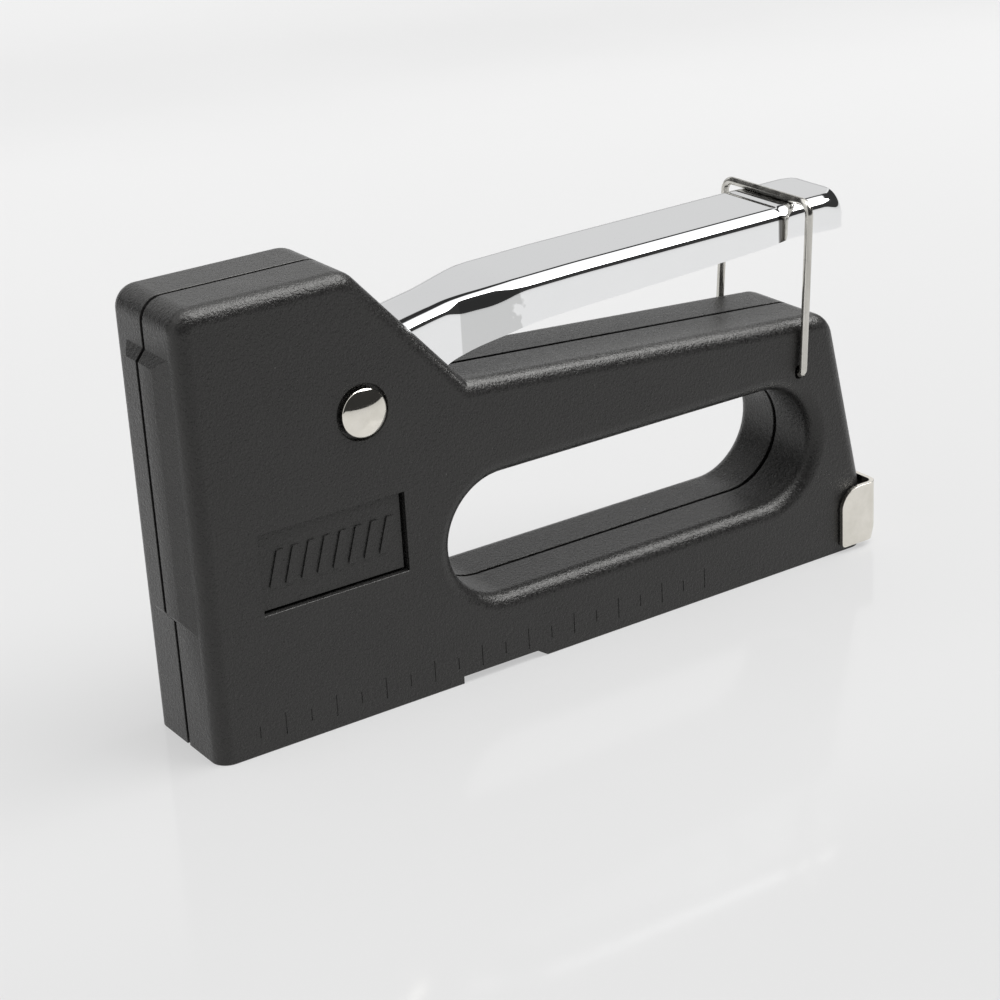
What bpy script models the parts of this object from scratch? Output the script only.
"""A light-duty staple gun: two moulded half shells, a chromed lever, a wire bail, a hammer and its springs, and a
magazine whose rail pulls out at the tail.

Lengths below are millimetres. x runs from the front face of the head (0) to the tail, y across the width with the
seam at 0, and z up from the base. point() turns them into metres in the object's frame, whose origin is at the
middle of the base of the bounding box.
"""

import math

import bmesh
import bpy
from mathutils import Vector

# ---------------------------------------------------------------- driving dimensions (mm)
FRONT_END = -1.5            # foremost point: the raised ridge on the front face
REAR_END = 144.5            # rearmost point: the latch plate
X_SHIFT = (FRONT_END + REAR_END) / 2

BODY_HEIGHT = 79.9
HALF_WIDTH = 11.56          # from the seam to a side face
HALF_SEAM = 0.15            # half the gap between the shells
WALL = 2.4
SIDE_CAVITY = HALF_WIDTH - WALL
EDGE_ROUND = 3.0            # rounding between the side faces and the rim
GAP = 0.3                   # clearance between pieces that lie on each other

HOLE_Z0 = 14.2              # finger opening: a stadium
HOLE_Z1 = 36.9
HOLE_X0 = 48.6
HOLE_X1 = 129.65
HOLE_R = (HOLE_Z1 - HOLE_Z0) / 2
HOLE_WALL = 2.0

RIDGE_HALF_FRONT = 5.2      # half width of the ridge at its front and at its foot
RIDGE_HALF_FOOT = 8.3
RIDGE_Z = (23.2, 25.3, 69.6, 71.5)

NOTCH_X = (48.9, 64.8, 66.9)
NOTCH_DEPTH = 1.35
LABEL_X = (10.8, 39.2)
LABEL_Z = (24.8, 39.4)
LABEL_DEPTH = 0.7

PIVOT_X = 32.6              # lever pivot
PIVOT_Z = 55.5
RIVET_R = 2.5
RIVET_HEAD_R = 4.3
RIVET_RECESS_R = 4.9
RIVET_RECESS_DEPTH = 0.5
BUSH_R = 3.4

LEVER_HALF = 9.2            # half widths of the lever's channel: handle, neck in the head, tail
LEVER_NECK_HALF = 7.0
LEVER_TAIL_HALF = 8.6
LEVER_SHEET = 1.2
LEVER_SHOULDER = 2.0
TAIL_GAP = 0.2              # between the lever's tail and the sweep of the bail's cross wire
LEVER_FRONT = 8.5
LEVER_WEB_FRONT = 22.0
LEVER_REAR = 141.8
SLOT_HALF = 7.7             # half width of the slot in the head that the lever passes through

BAIL_X = 126.5              # bail pivot
BAIL_Z = 39.3
BAIL_WIRE_R = 0.75
BAIL_TOP_X = 128.8
BAIL_TOP_Z = 71.5
BAIL_HALF_TOP = 12.11
BAIL_HALF_FOOT = 12.6
BAIL_END_Y = 8.2

HAMMER_X = 11.0             # axis of the hammer and the main spring
HAMMER_Z = (31.0, 52.0)
HAMMER_HALF = 5.2
HAMMER_PIN_Z = 48.8
HAMMER_PIN_R = 1.5
MAIN_SPRING_R = 4.2
MAIN_SPRING_WIRE = 0.8

CHANNEL_HALF = 6.6          # magazine channel
CHANNEL_SHEET = 0.8
CHANNEL_Z = (0.6, 11.9)
CHANNEL_X = (4.9, 140.4)
LIP_HALF = 3.6              # half width of the slot under the channel
RAIL_HALF = 4.4
RAIL_SHEET = 1.0
RAIL_Z = (1.7, 8.1)
RAIL_X = (6.0, 143.1)
ROD_Z = 4.6
ROD_R = 1.0
PUSHER_X = (8.5, 24.0)
SEAT_X = (20.5, 24.0)       # block of the pusher that the spring bears on

PLATE_SHEET = 0.9           # latch plate
PLATE_HALF_IN = HALF_WIDTH + GAP
PLATE_FRONT = 136.4
PLATE_Z = (1.1, 12.3)
PLATE_BEND = 2.5
RAIL_RIVET_Y = (-1.8, 1.8)

SCREWS = ((22.5, 22.5), (42.0, 24.5), (24.0, 71.2), (64.0, 45.7), (112.0, 43.4))
BOSS_R = 3.2
SCREW_R = 1.35
SCREW_HOLE_R = 1.7
SCREW_HEAD_R = 2.6
SCREW_RECESS_DEPTH = 2.3

ARC_STEP = math.radians(16)     # widest angle between two points of an arc
ROUND_SIDES = 24


# ---------------------------------------------------------------- helpers
def point(x, y, z):
    """Millimetres from the front face, seam and base, as metres in the object's frame."""
    return Vector((x - X_SHIFT, y, z)) * 0.001


def clear_scene():
    for obj in list(bpy.data.objects):
        bpy.data.objects.remove(obj, do_unlink=True)


def material(name, colour, roughness, metallic):
    made = bpy.data.materials.new(name)
    made.use_nodes = True
    shader = made.node_tree.nodes["Principled BSDF"]
    shader.inputs["Base Color"].default_value = (*colour, 1.0)
    shader.inputs["Roughness"].default_value = roughness
    shader.inputs["Metallic"].default_value = metallic
    made.diffuse_color = (*colour, 1.0)
    return made


def add_object(name, mesh_data, finish=None, origin=None):
    """Turns a bmesh in the object's frame into an object; origin (mm) becomes its own origin."""
    place = point(*origin) if origin else Vector((0, 0, 0))
    bmesh.ops.recalc_face_normals(mesh_data, faces=mesh_data.faces)
    bmesh.ops.translate(mesh_data, verts=mesh_data.verts, vec=-place)
    mesh = bpy.data.meshes.new(name)
    mesh_data.to_mesh(mesh)
    mesh_data.free()
    mesh.shade_smooth()
    mesh.set_sharp_from_angle(angle=math.radians(35))
    obj = bpy.data.objects.new(name, mesh)
    obj.location = place
    bpy.context.scene.collection.objects.link(obj)
    if finish:
        mesh.materials.append(finish)
    return obj


def helper(name, mesh_data):
    """A solid that only shapes others."""
    obj = add_object(name, mesh_data)
    obj.hide_render = True
    obj.display_type = "WIRE"
    return obj


def combine(target, other, operation="DIFFERENCE"):
    modifier = target.modifiers.new(other.name, "BOOLEAN")
    modifier.operation = operation
    modifier.solver = "EXACT"
    modifier.object = other


def arc_points(centre, radius, start, end, most=ARC_STEP):
    count = max(1, math.ceil(abs(end - start) / most))
    angles = [start + (end - start) * i / count for i in range(count + 1)]
    return [(centre[0] + radius * math.cos(a), centre[1] + radius * math.sin(a)) for a in angles]


def rounded(corners, most=ARC_STEP):
    """Polygon through corners (a, b, radius), each rounded by its radius."""
    outline = []
    for i, (a, b, radius) in enumerate(corners):
        here = Vector((a, b))
        if radius <= 0:
            outline.append((a, b))
            continue
        back = (Vector(corners[i - 1][:2]) - here).normalized()
        ahead = (Vector(corners[(i + 1) % len(corners)][:2]) - here).normalized()
        half = back.angle(ahead) / 2
        centre = here + (back + ahead).normalized() * radius / math.sin(half)
        first = here + back * radius / math.tan(half) - centre
        last = here + ahead * radius / math.tan(half) - centre
        start = math.atan2(first.y, first.x)
        sweep = (math.atan2(last.y, last.x) - start + math.pi) % (2 * math.pi) - math.pi
        outline += arc_points(centre, radius, start, start + sweep, most)
    return outline


def inset(corners, distance):
    """Corners moved inwards by distance; they run anticlockwise, and the rounded ones all turn left."""
    moved = []
    for i, (a, b, radius) in enumerate(corners):
        here = Vector((a, b))
        back = (here - Vector(corners[i - 1][:2])).normalized()
        ahead = (Vector(corners[(i + 1) % len(corners)][:2]) - here).normalized()
        normal_back = Vector((-back.y, back.x))
        normal_ahead = Vector((-ahead.y, ahead.x))
        middle = (normal_back + normal_ahead).normalized()
        corner = here + middle * distance / middle.dot(normal_back)
        moved.append((corner.x, corner.y, max(radius - distance, 0.0)))
    return moved


def loft(rings):
    """Closed solid through rings of points (mm) with equal counts."""
    made = bmesh.new()
    rows = [[made.verts.new(point(*p)) for p in ring] for ring in rings]
    for low, high in zip(rows, rows[1:]):
        for i in range(len(low)):
            j = (i + 1) % len(low)
            made.faces.new((low[i], low[j], high[j], high[i]))
    made.faces.new(rows[0])
    made.faces.new(rows[-1])
    return made


def side_prism(outline, y0, y1):
    """Outline in x and z, extruded across."""
    return loft([[(x, y, z) for x, z in outline] for y in (y0, y1)])


def plan_prism(outline, z0, z1):
    """Outline in x and y, extruded upwards."""
    return loft([[(x, y, z) for x, y in outline] for z in (z0, z1)])


def end_prism(outline, x0, x1):
    """Outline in y and z, extruded along the object."""
    return loft([[(x, y, z) for y, z in outline] for x in (x0, x1)])


def box(x0, x1, y0, y1, z0, z1):
    return side_prism([(x0, z0), (x1, z0), (x1, z1), (x0, z1)], y0, y1)


def circle(radius, sides=ROUND_SIDES):
    return [(radius * math.cos(a), radius * math.sin(a)) for a in
            (2 * math.pi * (i + 0.5) / sides for i in range(sides))]


def turned(profile, x, z, sides=ROUND_SIDES):
    """Solid turned about an axis along y through (x, z); profile lists (y, radius)."""
    return loft([[(x + u, y, z + v) for u, v in circle(radius, sides)] for y, radius in profile])


def turned_up(profile, x, y, sides=ROUND_SIDES):
    """Solid turned about an upright axis through (x, y); profile lists (z, radius)."""
    return loft([[(x + u, y + v, z) for u, v in circle(radius, sides)] for z, radius in profile])


def turned_along(profile, y, z, sides=ROUND_SIDES):
    """Solid turned about an axis along x through (y, z); profile lists (x, radius)."""
    return loft([[(x, y + u, z + v) for u, v in circle(radius, sides)] for x, radius in profile])


def wire(path, radius, sides):
    """Round wire along a path of points (mm), its section carried along without twist."""
    points = [Vector(p) for p in path]
    tangents = [(points[min(i + 1, len(points) - 1)] - points[max(i - 1, 0)]).normalized()
                for i in range(len(points))]
    normal = tangents[0].orthogonal().normalized()
    rings = []
    for here, tangent in zip(points, tangents):
        normal = (normal - tangent * normal.dot(tangent)).normalized()
        across = tangent.cross(normal)
        ring = [here + (normal * u + across * v) for u, v in circle(radius, sides)]
        rings.append([tuple(p) for p in ring])
    return loft(rings)


def dome(y_base, y_top, radius, steps=5):
    """Profile (y, radius) of a rivet head from its rim at y_base to its crown at y_top."""
    angles = [math.pi / 2 * i / steps for i in range(steps)]
    rim = [(y_base + (y_top - y_base) * math.sin(a), radius * math.cos(a)) for a in angles]
    return rim + [(y_top, radius * 0.12)]


# ---------------------------------------------------------------- shells
def body_corners():
    """Side outline of the body (x, z, radius), anticlockwise from the front of the base."""
    low = -6.0      # the outline runs below the base, which is cut flat afterwards
    return [(0.0, low, 0.0), (140.7, low, 0.0), (140.7, 14.0, 0.0), (133.3, 49.4, 6.5), (52.95, 55.6, 0.0),
            (31.06, BODY_HEIGHT, 5.0), (0.0, BODY_HEIGHT, 4.0)]


def stadium(radius):
    left = HOLE_X0 + HOLE_R
    right = HOLE_X1 - HOLE_R
    middle = (HOLE_Z0 + HOLE_Z1) / 2
    half_turn = math.pi / 2
    return (arc_points((right, middle), radius, -half_turn, half_turn)
            + arc_points((left, middle), radius, half_turn, 3 * half_turn))


def flared_hole(side):
    """Finger opening, flaring at the side face to leave a rounded edge."""
    stages = [(-1.0, HOLE_R), (HALF_WIDTH - EDGE_ROUND, HOLE_R)]
    for degrees in (30, 60, 90):
        a = math.radians(degrees)
        stages.append((HALF_WIDTH - EDGE_ROUND * (1 - math.sin(a)), HOLE_R + EDGE_ROUND * (1 - math.cos(a))))
    stages.append((HALF_WIDTH + 2.0, HOLE_R + EDGE_ROUND))
    return loft([[(x, side * y, z) for x, z in stadium(radius)] for y, radius in stages])


def cavity(side):
    """Hollow of one shell, with the wall round the finger opening left standing."""
    corners = inset(body_corners(), WALL)
    corners[0] = (corners[0][0], WALL, 0.0)
    corners[1] = (corners[1][0], WALL, 0.0)
    hollow = helper(f"cavity_{side}", side_prism(rounded(corners), -side, side * SIDE_CAVITY))
    wall = helper(f"hole_wall_{side}", side_prism(stadium(HOLE_R + HOLE_WALL), -2 * side, side * (HALF_WIDTH + 3)))
    combine(hollow, wall)
    return hollow


def outer_block(side):
    """Solid outline of one shell with its rim rounded on the side face."""
    stages = [(HALF_SEAM, 0.0)]
    for degrees in (0, 25, 50, 90):
        a = math.radians(degrees)
        stages.append((HALF_WIDTH - EDGE_ROUND * (1 - math.sin(a)), EDGE_ROUND * (1 - math.cos(a))))
    return loft([[(x, side * y, z) for x, z in rounded(inset(body_corners(), depth))] for y, depth in stages])


def ridge(side):
    """Half of the raised ridge on the front face, its ends and side sloping back to the face."""
    root = 1.0      # how far it reaches into the wall
    z0, z1, z2, z3 = RIDGE_Z
    section = [(root, z0, RIDGE_HALF_FOOT), (0.0, z0, RIDGE_HALF_FOOT), (FRONT_END, z1, RIDGE_HALF_FRONT),
               (FRONT_END, z2, RIDGE_HALF_FRONT), (0.0, z3, RIDGE_HALF_FOOT), (root, z3, RIDGE_HALF_FOOT)]
    made = bmesh.new()
    inner = [made.verts.new(point(x, side * HALF_SEAM, z)) for x, z, _ in section]
    outer = [made.verts.new(point(x, side * y, z)) for x, z, y in section]
    bmesh.ops.convex_hull(made, input=inner + outer)
    return made


def shell_cutters(side):
    """Everything that is cut out of one shell, as (name, solid)."""
    far = side * (HALF_WIDTH + 2)
    across = -2 * side
    x0, x1, x2 = NOTCH_X
    slot = [(34, 60), (41.9, 68.1), (50, 71), (57.5, 71), (57.5, 52.6), (50, 50.5), (40, 50)]
    cutters = [
        ("base_cut", box(-9, 150, across, far, -9, 0)),
        ("lever_slot", side_prism(slot, across, side * SLOT_HALF)),
        ("channel_slot", box(2.5, 150, across, side * (CHANNEL_HALF + GAP), -3, 12.2)),
        ("notch", side_prism([(x0, -2), (x2 + 2, -2), (x2, 0), (x1, NOTCH_DEPTH), (x0, NOTCH_DEPTH)], across, far)),
        ("rivet_hole", turned([(across, RIVET_R + GAP), (far, RIVET_R + GAP)], PIVOT_X, PIVOT_Z)),
        ("rivet_recess", turned([(side * (HALF_WIDTH - RIVET_RECESS_DEPTH), RIVET_RECESS_R),
                                 (far, RIVET_RECESS_R)], PIVOT_X, PIVOT_Z)),
        ("bail_hole", turned([(side * (SIDE_CAVITY - 2), BAIL_WIRE_R + GAP), (far, BAIL_WIRE_R + GAP)],
                             BAIL_X, BAIL_Z, 16)),
    ]
    return cutters


def left_only(side):
    """Label recess and the blind holes that the screws bite into."""
    cutters = [("label", box(*LABEL_X, side * (HALF_WIDTH - LABEL_DEPTH), side * (HALF_WIDTH + 2), *LABEL_Z))]
    for i, (x, z) in enumerate(SCREWS):
        depth = [(-2 * side, SCREW_HOLE_R), (side * (SIDE_CAVITY - 0.6), SCREW_HOLE_R)]
        cutters.append((f"screw_bore_{i}", turned(depth, x, z, 16)))
    return cutters


def right_only(side):
    """Clearance holes and head recesses of the screws."""
    cutters = []
    for i, (x, z) in enumerate(SCREWS):
        through = [(-2 * side, SCREW_HOLE_R), (side * (HALF_WIDTH + 2), SCREW_HOLE_R)]
        recess = [(side * (HALF_WIDTH - SCREW_RECESS_DEPTH), SCREW_HEAD_R + GAP),
                  (side * (HALF_WIDTH + 2), SCREW_HEAD_R + GAP)]
        cutters.append((f"screw_way_{i}", turned(through, x, z, 16)))
        cutters.append((f"screw_recess_{i}", turned(recess, x, z, 16)))
    return cutters


def make_shell(name, side, finish):
    shell = add_object(name, outer_block(side), finish)
    combine(shell, cavity(side))
    combine(shell, helper(f"ridge_{side}", ridge(side)), "UNION")
    shelf = box(5.2, 18.6, side * HALF_SEAM, side * (SIDE_CAVITY + 0.5), 17.4, 19.7)
    combine(shell, helper(f"bumper_shelf_{side}", shelf), "UNION")
    for i, (x, z) in enumerate(SCREWS):
        boss = turned([(side * HALF_SEAM, BOSS_R), (side * (SIDE_CAVITY + 0.5), BOSS_R)], x, z, 16)
        combine(shell, helper(f"boss_{side}_{i}", boss), "UNION")
    combine(shell, helper(f"finger_hole_{side}", flared_hole(side)))
    own = left_only(side) if side < 0 else right_only(side)
    for cut_name, solid in shell_cutters(side) + own:
        combine(shell, helper(f"{cut_name}_{side}", solid))
    return shell


# ---------------------------------------------------------------- lever
def smooth_step(x, x0, x1):
    t = min(max((x - x0) / (x1 - x0), 0.0), 1.0)
    return t * t * (3 - 2 * t)


def follow(stations, x):
    """Height at x on a line through stations (x, z)."""
    for (xa, za), (xb, zb) in zip(stations, stations[1:]):
        if x <= xb:
            return za + (zb - za) * (x - xa) / (xb - xa)
    return stations[-1][1]


def lever_half_width(x):
    widening = (LEVER_HALF - LEVER_NECK_HALF) * smooth_step(x, 53.5, 64.0)
    tail = (LEVER_HALF - LEVER_TAIL_HALF) * smooth_step(x, 125.5, 127.5)
    return LEVER_NECK_HALF + widening - tail


def lever_top(x):
    """Top of the lever's web. The tail stays under the arc that the bail's cross wire sweeps."""
    line = [(LEVER_FRONT, 47.0), (21.9, 47.0), (LEVER_WEB_FRONT, 60.4), (30.0, 62.9), (40.0, 65.3), (48.0, 66.9),
            (56.0, 68.4), (65.0, 69.6), (125.8, 70.4), (127.5, 70.1), (LEVER_REAR, 70.1)]
    reach = math.hypot(BAIL_TOP_X - BAIL_X, BAIL_TOP_Z - BAIL_Z) - BAIL_WIRE_R - TAIL_GAP
    if x < 128.0:
        return follow(line, x)
    return min(follow(line, x), BAIL_Z + math.sqrt(reach ** 2 - (x - BAIL_X) ** 2))


def lever_bottom(x):
    line = [(LEVER_FRONT, 43.6), (21.0, 45.0), (27.0, 48.9), (34.0, 49.0), (40.0, 50.6), (46.0, 53.6), (52.0, 57.4),
            (60.0, 60.2), (70.0, 62.0), (100.0, 63.1), (124.0, 64.2), (LEVER_REAR, 64.2)]
    return follow(line, x)


def lever_section(x, thickness, below, top_cut):
    """Ring of the lever at x, set in by thickness and carried below its lower edge."""
    half = lever_half_width(x) - thickness
    top = lever_top(x) - top_cut
    low = lever_bottom(x) - below
    radius = max(LEVER_SHOULDER - thickness, 0.4)
    right = arc_points((half - radius, top - radius), radius, 0, math.pi / 2, math.radians(31))
    left = [(-y, z) for y, z in reversed(right)]
    ring = [(half, low), *right, *left, (-half, low)]
    return [(x, y, z) for y, z in ring]


def make_lever(finish):
    stations = [LEVER_FRONT, 15.0, 21.9, LEVER_WEB_FRONT, 26.0, 30.0, 34.0, 40.0, 46.0, 50.0, 53.5, 56.0, 58.5, 61.0,
                64.0, 70.0, 85.0, 100.0, 115.0, 124.0, 125.8, 127.5, 130.0, 133.0, 136.0, 138.5, 140.5, LEVER_REAR]
    outer = loft([lever_section(x, 0.0, 0.0, 0.0) for x in stations])
    lever = add_object("lever", outer, finish, (PIVOT_X, 0, PIVOT_Z))
    inside = [x for x in stations if x > LEVER_WEB_FRONT and x < LEVER_REAR]
    inside = [LEVER_WEB_FRONT, *inside[:-1], LEVER_REAR - LEVER_SHEET]
    hollow = loft([lever_section(x, LEVER_SHEET, 3.0, LEVER_SHEET) for x in inside])
    combine(lever, helper("lever_hollow", hollow))
    fingers = LEVER_NECK_HALF - LEVER_SHEET
    combine(lever, helper("lever_mouth", box(LEVER_FRONT - 3, LEVER_WEB_FRONT + 0.6, -fingers, fingers, 30, 75)))
    bore = turned([(-12, BUSH_R + GAP), (12, BUSH_R + GAP)], PIVOT_X, PIVOT_Z)
    combine(lever, helper("lever_bore", bore))
    return lever


# ---------------------------------------------------------------- pivot
def make_pivot(nickel, steel):
    foot = HALF_WIDTH - RIVET_RECESS_DEPTH + 0.15
    head = [(-y, r) for y, r in reversed(dome(foot, 12.95, RIVET_HEAD_R))]
    far_end = dome(12.3, 13.1, 3.9, 4)
    profile = head + [(-foot, RIVET_R), (12.3, RIVET_R)] + far_end
    add_object("pivot_rivet", turned(profile, PIVOT_X, PIVOT_Z), nickel)
    make_ring("pivot_washer", steel, 11.36, 12.0, RIVET_R + GAP, 4.6)
    make_ring("pivot_bush", steel, -8.9, 8.9, RIVET_R + GAP, BUSH_R)


def make_ring(name, finish, y0, y1, inner, outer):
    ring = add_object(name, turned([(y0, outer), (y1, outer)], PIVOT_X, PIVOT_Z), finish)
    combine(ring, helper(f"{name}_bore", turned([(y0 - 1, inner), (y1 + 1, inner)], PIVOT_X, PIVOT_Z)))


def make_lever_spring(finish):
    """Torsion spring round the bush, one leg forward on the shell and one back under the lever's web."""
    radius = 4.9
    turns = 3.25
    steps = 12
    half = 2.2
    path = [(46.0, -half, 57.9)]
    for i in range(int(turns * steps) + 1):
        a = math.pi / 2 - 2 * math.pi * i / steps
        path.append((PIVOT_X + radius * math.cos(a), -half + 2 * half * i / (turns * steps),
                     PIVOT_Z + radius * math.sin(a)))
    path.append((PIVOT_X + radius, half, PIVOT_Z - 10.0))
    add_object("lever_spring", wire(path, 0.5, 6), finish)


# ---------------------------------------------------------------- hammer group
def helix_up(x, y, radius, z0, z1, turns, steps):
    """Coil about an upright axis with closed ends."""
    count = int(turns * steps)
    path = []
    for i in range(count + 1):
        a = 2 * math.pi * i / steps
        share = (i - steps) / (count - 2 * steps)
        rise = min(max(share, 0.0), 1.0)
        settle = 1.75 * MAIN_SPRING_WIRE * (min(i / steps, 1.0) + max((i - count + steps) / steps, 0.0))
        path.append((x + radius * math.cos(a), y + radius * math.sin(a),
                     z0 + settle + rise * (z1 - z0 - 3.5 * MAIN_SPRING_WIRE)))
    return path


def make_hammer(steel, dark_steel):
    z0, z1 = HAMMER_Z
    block = add_object("hammer", box(4.8, 16.5, -HAMMER_HALF, HAMMER_HALF, z0, z1), dark_steel, (HAMMER_X, 0, z0))
    stud = helper("hammer_stud", turned_up([(z1 - 1, 2.2), (z1 + 2.4, 2.2), (z1 + 3.0, 1.6)], HAMMER_X, 0, 16))
    combine(block, stud, "UNION")
    bore_r = HAMMER_PIN_R + GAP
    combine(block, helper("hammer_pin_bore", turned([(-9, bore_r), (9, bore_r)], HAMMER_X, HAMMER_PIN_Z, 16)))
    pin = [(-7.3, 1.2), (-7.0, HAMMER_PIN_R), (7.0, HAMMER_PIN_R), (7.3, 1.2)]
    add_object("hammer_pin", turned(pin, HAMMER_X, HAMMER_PIN_Z, 16), steel, (HAMMER_X, 0, HAMMER_PIN_Z))
    blade = plan_prism([(3.5, -5.6), (4.5, -5.6), (4.5, 5.6), (3.5, 5.6)], 6.5, 50.0)
    add_object("driver_blade", blade, steel, (HAMMER_X, 0, z0))
    coil = helix_up(HAMMER_X, 0, MAIN_SPRING_R, z1 + GAP + MAIN_SPRING_WIRE, 75.2, 8.0, 12)
    add_object("main_spring", wire(coil, MAIN_SPRING_WIRE, 6), steel)
    guide = [(59.0, 1.6), (59.6, 2.2), (76.4, 2.2), (76.41, 5.4), (77.2, 5.4)]
    add_object("spring_guide", turned_up(guide, HAMMER_X, 0), steel)


def make_bumper(rubber):
    outline = rounded([(6.0, -6.0, 1.0), (17.5, -6.0, 1.0), (17.5, 6.0, 1.0), (6.0, 6.0, 1.0)])
    add_object("bumper", plan_prism(outline, 20.0, 25.6), rubber)


def make_front_plate(steel):
    plate = add_object("front_plate", box(2.6, 3.2, -6.3, 6.3, 0.8, 46.0), steel)
    window = box(1, 5, -2.5, 2.5, 26.0, 38.0)
    combine(plate, helper("plate_window", window))


# ---------------------------------------------------------------- magazine
def channel_outline():
    """Section (y, z) of the magazine channel: an upturned channel with lips turned in below."""
    z0, z1 = CHANNEL_Z
    sheet = CHANNEL_SHEET
    right = [(LIP_HALF, z0), (CHANNEL_HALF, z0), (CHANNEL_HALF, z1)]
    inner = [(CHANNEL_HALF - sheet, z1 - sheet), (CHANNEL_HALF - sheet, z0 + sheet), (LIP_HALF, z0 + sheet)]
    mirrored = [(-y, z) for y, z in right]
    return right + mirrored[::-1] + [(-y, z) for y, z in inner[::-1]] + inner


def make_channel(steel):
    add_object("magazine_channel", end_prism(channel_outline(), *CHANNEL_X), steel)


def make_rail(steel):
    z0, z1 = RAIL_Z
    x0, x1 = RAIL_X
    rail = add_object("pusher_rail", box(x0, x1, -RAIL_HALF, RAIL_HALF, z0, z1), steel, (x0, 0, ROD_Z))
    inner = RAIL_HALF - RAIL_SHEET
    combine(rail, helper("rail_hollow", box(x0 + RAIL_SHEET, x1 - RAIL_SHEET, -inner, inner, 0, z1 - RAIL_SHEET)))
    combine(rail, helper("rail_slot", box(x0 + 2, 134, -0.9, 0.9, 4, 10)))
    rod_hole = turned_along([(x0 - 1, ROD_R + GAP), (x0 + 2, ROD_R + GAP)], 0, ROD_Z, 12)
    combine(rail, helper("rail_rod_hole", rod_hole))
    for i, y in enumerate(RAIL_RIVET_Y):
        hole = turned_along([(x1 - 2, 1.1), (x1 + 2, 1.1)], y, ROD_Z, 12)
        combine(rail, helper(f"rail_rivet_hole_{i}", hole))
    rod = turned_along([(x0 + 0.2, ROD_R), (x1 - RAIL_SHEET - 1.2, ROD_R)], 0, ROD_Z, 12)
    add_object("guide_rod", rod, steel, (x0, 0, ROD_Z))


def make_rail_rivets(steel):
    x1 = RAIL_X[1]
    for i, y in enumerate(RAIL_RIVET_Y):
        head_end = x1 - RAIL_SHEET - 0.15
        profile = [(head_end - 0.7, 0.9), (head_end - 0.5, 1.4), (head_end, 1.4), (head_end + 0.01, 0.8),
                   (REAR_END - 0.1, 0.8)]
        add_object(f"rail_rivet_{i + 1}", turned_along(profile, y, ROD_Z, 12), steel, (x1, y, ROD_Z))


def make_pusher_spring(steel):
    """Long coil on the guide rod, from the pusher's seat to the end of the rail."""
    radius = 1.95
    turns = 30
    steps = 8
    x0 = SEAT_X[1] + 0.8
    x1 = RAIL_X[1] - RAIL_SHEET - 1.8
    path = []
    for i in range(turns * steps + 1):
        a = 2 * math.pi * i / steps
        path.append((x0 + (x1 - x0) * i / (turns * steps), radius * math.cos(a), ROD_Z + radius * math.sin(a)))
    add_object("pusher_spring", wire(path, 0.35, 4), steel, (RAIL_X[0], 0, ROD_Z))


def make_pusher(steel):
    """Saddle over the rail, with a web through the rail's slot and a seat for the spring."""
    x0, x1 = PUSHER_X
    z0 = RAIL_Z[0]
    roof = RAIL_Z[1] + GAP
    inner = RAIL_HALF + GAP
    pusher = add_object("staple_pusher", box(x0, x1, -5.5, 5.5, z0, 9.8), steel, (x1, 0, ROD_Z))
    combine(pusher, helper("pusher_saddle", box(x0 - 1, x1 + 1, -inner, inner, 0, roof)))
    combine(pusher, helper("pusher_web", box(*SEAT_X, -0.55, 0.55, 5.5, roof + 0.5)), "UNION")
    seat = turned_along([(SEAT_X[0], 2.0), (SEAT_X[1], 2.0)], 0, ROD_Z, 16)
    combine(pusher, helper("pusher_seat", seat), "UNION")
    bore = turned_along([(SEAT_X[0] - 1, ROD_R + 0.25), (SEAT_X[1] + 1, ROD_R + 0.25)], 0, ROD_Z, 16)
    combine(pusher, helper("pusher_bore", bore))


def plate_outline(half, front, rear, bend):
    """Plan outline (x, y) of a U that opens forward."""
    return rounded([(front, -half, 0), (rear, -half, bend), (rear, half, bend), (front, half, 0)])


def make_latch_plate(nickel):
    outer_half = PLATE_HALF_IN + PLATE_SHEET
    z0, z1 = PLATE_Z
    outer = plan_prism(plate_outline(outer_half, PLATE_FRONT, REAR_END, PLATE_BEND), z0, z1)
    plate = add_object("latch_plate", outer, nickel, (REAR_END, 0, ROD_Z))
    inner = plate_outline(PLATE_HALF_IN, PLATE_FRONT - 3, REAR_END - PLATE_SHEET, PLATE_BEND - PLATE_SHEET)
    combine(plate, helper("plate_inside", plan_prism(inner, z0 - 2, z1 + 2)))
    trim = rounded([(PLATE_FRONT - 0.5, z0 - 0.5, 0), (REAR_END + 2, z0 - 0.5, 0), (REAR_END + 2, z1, 0),
                    (PLATE_FRONT, z1, 4.2), (PLATE_FRONT, 4.0, 0)])
    combine(plate, helper("plate_trim", side_prism(trim, -20, 20)), "INTERSECT")
    for i, y in enumerate(RAIL_RIVET_Y):
        hole = turned_along([(REAR_END - 3, 1.1), (REAR_END + 2, 1.1)], y, ROD_Z, 12)
        combine(plate, helper(f"plate_rivet_hole_{i}", hole))


# ---------------------------------------------------------------- bail
def make_bail(finish):
    """Wire loop: two ends that turn into the shells, two legs, and the cross wire over the lever."""
    foot = (BAIL_X, BAIL_HALF_FOOT, BAIL_Z)
    top = (BAIL_TOP_X, BAIL_HALF_TOP, BAIL_TOP_Z)
    corners = [(BAIL_X, BAIL_END_Y, BAIL_Z), foot, top]
    corners += [(x, -y, z) for x, y, z in reversed(corners)]
    add_object("wire_bail", wire(bent(corners, (1.1, 2.2, 2.2, 1.1)), BAIL_WIRE_R, 8), finish, (BAIL_X, 0, BAIL_Z))


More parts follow.
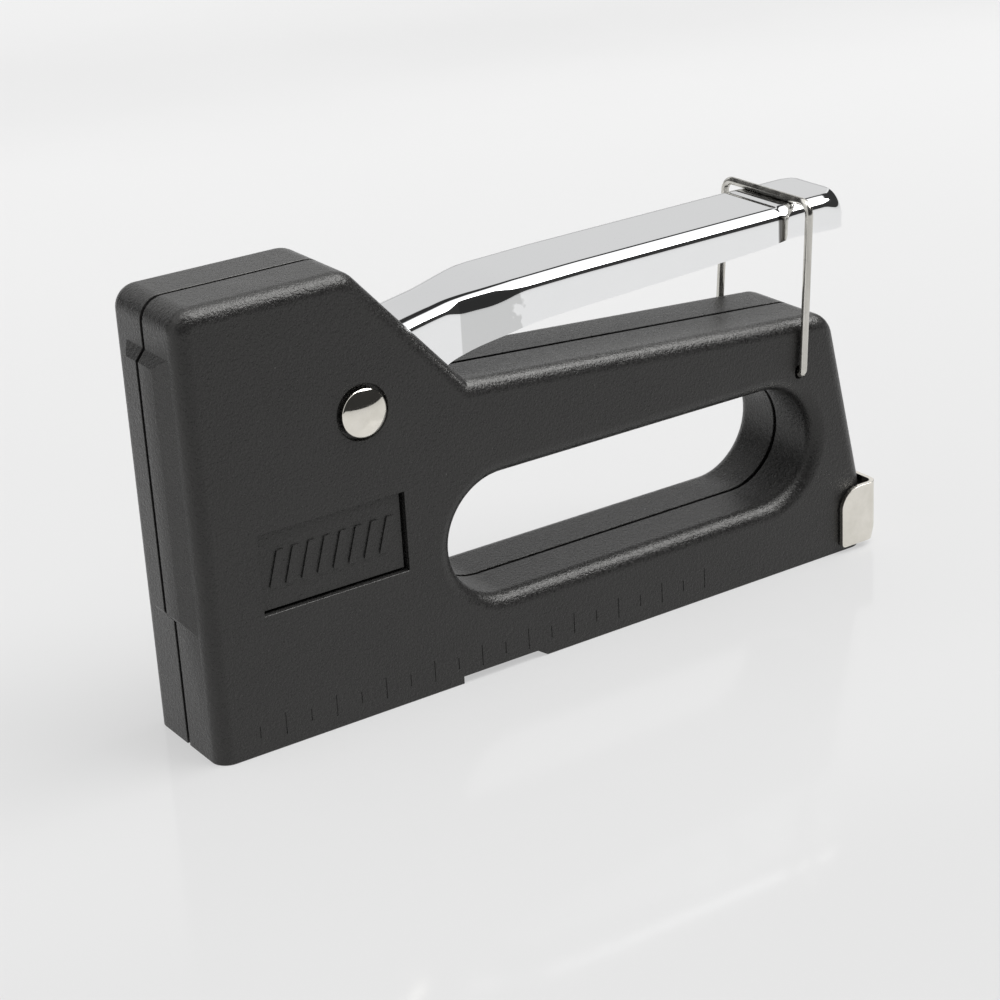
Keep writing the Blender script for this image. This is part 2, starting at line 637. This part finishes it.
def bent(corners, radii):
    """Path through corners with each inner one rounded by its radius."""
    points = [Vector(c) for c in corners]
    path = [points[0]]
    for before, here, after, radius in zip(points, points[1:], points[2:], radii):
        back = (before - here).normalized()
        ahead = (after - here).normalized()
        half = back.angle(ahead) / 2
        reach = radius / math.tan(half)
        centre = here + (back + ahead).normalized() * radius / math.sin(half)
        first = (here + back * reach - centre).normalized()
        last = (here + ahead * reach - centre).normalized()
        path += [centre + first.slerp(last, i / 5) * radius for i in range(6)]
    return [tuple(p) for p in [*path, points[-1]]]


# ---------------------------------------------------------------- screws
def make_screws(finish):
    seat = HALF_WIDTH - SCREW_RECESS_DEPTH
    for i, (x, z) in enumerate(SCREWS):
        profile = [(-7.4, 0.7), (-6.2, SCREW_R), (seat + 0.2, SCREW_R), (seat + 0.21, SCREW_HEAD_R),
                   (seat + 1.2, SCREW_HEAD_R), (seat + 1.9, 1.5)]
        screw = add_object(f"case_screw_{i + 1}", turned(profile, x, z, 16), finish)
        y0 = seat + 1.1
        for k, (u, v) in enumerate(((1.4, 0.25), (0.25, 1.4))):
            combine(screw, helper(f"drive_{i}_{k}", box(x - u, x + u, y0, y0 + 3, z - v, z + v)))


def build():
    clear_scene()
    plastic = material("black_plastic", (0.035, 0.035, 0.037), 0.5, 0.0)
    chrome = material("chrome", (0.8, 0.81, 0.83), 0.06, 1.0)
    nickel = material("nickel", (0.66, 0.63, 0.57), 0.2, 1.0)
    wire_steel = material("bright_wire", (0.6, 0.59, 0.56), 0.25, 1.0)
    steel = material("plain_steel", (0.5, 0.5, 0.51), 0.35, 1.0)
    dark_steel = material("dark_steel", (0.22, 0.22, 0.23), 0.45, 1.0)
    rubber = material("rubber", (0.05, 0.05, 0.05), 0.8, 0.0)
    screw_black = material("black_screw", (0.06, 0.06, 0.06), 0.4, 1.0)
    make_shell("left_shell", -1, plastic)
    make_shell("right_shell", 1, plastic)
    make_lever(chrome)
    make_pivot(nickel, steel)
    make_lever_spring(steel)
    make_hammer(steel, dark_steel)
    make_bumper(rubber)
    make_front_plate(steel)
    make_channel(steel)
    make_rail(steel)
    make_rail_rivets(steel)
    make_pusher_spring(steel)
    make_pusher(steel)
    make_latch_plate(nickel)
    make_bail(wire_steel)
    make_screws(screw_black)


build()
